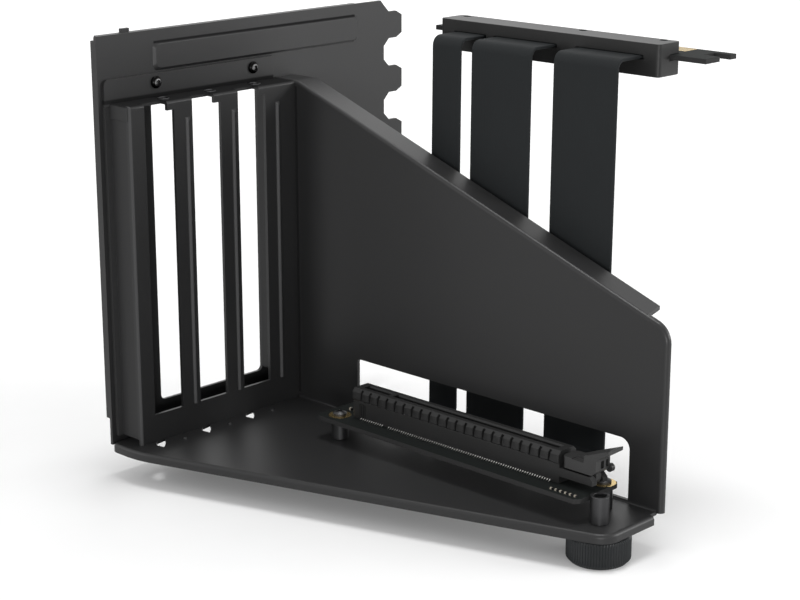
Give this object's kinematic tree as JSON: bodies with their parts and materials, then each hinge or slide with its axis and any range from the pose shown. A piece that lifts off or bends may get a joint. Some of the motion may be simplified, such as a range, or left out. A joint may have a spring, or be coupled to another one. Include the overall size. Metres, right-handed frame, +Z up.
{
  "type": "vertical graphics card bracket",
  "caption": "Folded steel bracket that holds a graphics card upright, with slot bars, a latched riser socket, flat ribbon cables, a plug head and a screw foot.",
  "frame": {"origin": "under the middle of the part's box, on the plane of the foot's underside", "axes": "+X from the rear plate along the main panel, +Y from the card side to the cable side, +Z up"},
  "size_m": [0.1776, 0.144, 0.1521],
  "materials": {
    "bracket_coat": "satin black powder coat on folded steel",
    "board_black": "black solder resist on glass laminate",
    "chip_grey": "small ceramic chip parts",
    "moulded_black": "moulded black plastic",
    "plug_black": "smooth black plastic",
    "contact_gold": "gold plating on copper alloy",
    "contact_tin": "tin plating on copper alloy",
    "dark_steel": "blackened steel",
    "knob_grey": "knurled, dark anodised aluminium",
    "ribbon_jacket": "flexible dark cable jacket"
  },
  "bodies": {
    "bracket": {"main_bracket": "bracket_coat", "rear_plate": "bracket_coat", "slot_bracket": "bracket_coat", "riser_board": "board_black", "board_chips": "chip_grey", "socket_housing": "moulded_black", "socket_contacts": "contact_tin", "plug_lower_shell": "plug_black", "plug_upper_shell": "plug_black", "plug_board": "board_black", "plug_fingers": "contact_gold", "foot_sleeve": "dark_steel", "plate_screw_left": "dark_steel", "plate_screw_right": "dark_steel", "board_post_left": "dark_steel", "board_post_right": "dark_steel", "board_pad_left": "contact_gold", "board_pad_right": "contact_gold", "board_screw_left": "dark_steel", "board_screw_right": "dark_steel", "ribbon_narrow": "ribbon_jacket", "ribbon_middle": "ribbon_jacket", "ribbon_end": "ribbon_jacket", "plug_screw_left": "dark_steel", "plug_screw_middle": "dark_steel", "plug_screw_right": "dark_steel"},
    "latch": {"socket_latch": "moulded_black"},
    "foot_screw": {"foot_stud": "dark_steel"},
    "knob": {"foot_knob": "knob_grey"}
  },
  "joints": [
    {"name": "latch_hinge", "type": "hinge", "parent": "bracket", "child": "latch", "pos_m": [0.07395, -0.00853, 0.0239], "axis": [0, 1, 0], "range_deg": [0, 25]},
    {"name": "foot_travel", "type": "slide", "parent": "bracket", "child": "foot_screw", "axis": [0, 0, -1], "range_m": [0, 0.0056]},
    {"name": "foot_turn", "type": "hinge", "parent": "foot_screw", "child": "knob", "pos_m": [0.07915, -0.01253, 0.0059], "axis": [0, 0, -1], "range_deg": [0, 2880]}
  ],
  "couplings": [
    {"joint": "foot_travel", "follows": "foot_turn", "m_per_rad": 0.00011141}
  ]
}
